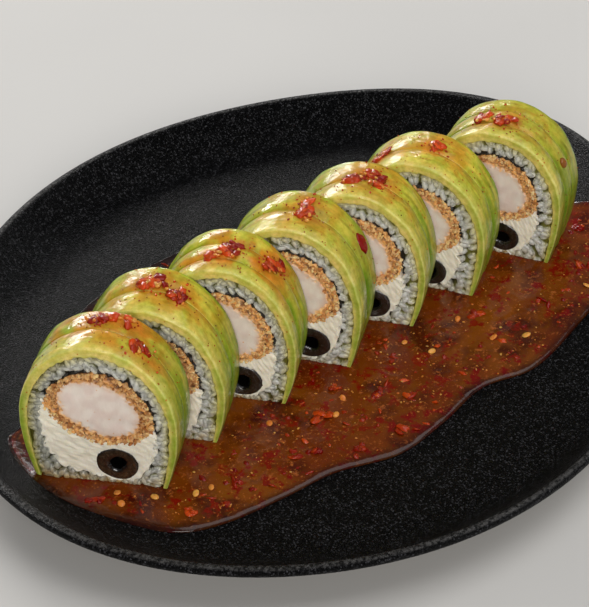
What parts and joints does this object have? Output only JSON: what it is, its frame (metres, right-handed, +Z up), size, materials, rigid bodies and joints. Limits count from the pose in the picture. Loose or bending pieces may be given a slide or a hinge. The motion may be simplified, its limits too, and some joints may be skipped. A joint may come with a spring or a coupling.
{
  "type": "plate of cut chicken rolls",
  "caption": "Oval stoneware plate with a row of cut inside-out rolls under avocado slices, filled with crumbed chicken, cream cheese and olive, in a pool of chilli sauce.",
  "frame": {"origin": "on the table, under the middle of the plate's outline", "axes": "+X along the plate's long side and the row of rolls, +Z up"},
  "size_m": [0.3084, 0.2516, 0.0651],
  "materials": {
    "stoneware": "matte black, finely grained",
    "sauce": "wet, translucent orange brown",
    "rice": "moist, translucent white",
    "nori": "dark green black, damp",
    "cheese": "smooth, satin white",
    "chicken": "golden crumb crust round pale meat",
    "olive": "wet brown black",
    "avocado": "glazed, yellow to green"
  },
  "bodies": {
    "root": {"plate": "stoneware", "sauce": "sauce", "roll_1_rice": "rice", "roll_1_nori": "nori", "roll_1_cheese": "cheese", "roll_1_chicken": "chicken", "roll_1_olive": "olive", "roll_1_avocado_1": "avocado", "roll_1_avocado_2": "avocado", "roll_2_rice": "rice", "roll_2_nori": "nori", "roll_2_cheese": "cheese", "roll_2_chicken": "chicken", "roll_2_olive": "olive", "roll_2_avocado_1": "avocado", "roll_2_avocado_2": "avocado", "roll_3_rice": "rice", "roll_3_nori": "nori", "roll_3_cheese": "cheese", "roll_3_chicken": "chicken", "roll_3_olive": "olive", "roll_3_avocado_1": "avocado", "roll_3_avocado_2": "avocado", "roll_3_avocado_3": "avocado", "roll_4_rice": "rice", "roll_4_nori": "nori", "roll_4_cheese": "cheese", "roll_4_chicken": "chicken", "roll_4_olive": "olive", "roll_4_avocado_1": "avocado", "roll_4_avocado_2": "avocado", "roll_5_rice": "rice", "roll_5_nori": "nori", "roll_5_cheese": "cheese", "roll_5_chicken": "chicken", "roll_5_olive": "olive", "roll_5_avocado_1": "avocado", "roll_5_avocado_2": "avocado", "roll_6_rice": "rice", "roll_6_nori": "nori", "roll_6_cheese": "cheese", "roll_6_chicken": "chicken", "roll_6_olive": "olive", "roll_6_avocado_1": "avocado", "roll_6_avocado_2": "avocado", "roll_7_rice": "rice", "roll_7_nori": "nori", "roll_7_cheese": "cheese", "roll_7_chicken": "chicken", "roll_7_olive": "olive", "roll_7_avocado_1": "avocado", "roll_7_avocado_2": "avocado", "roll_7_avocado_3": "avocado"}
  },
  "joints": []
}
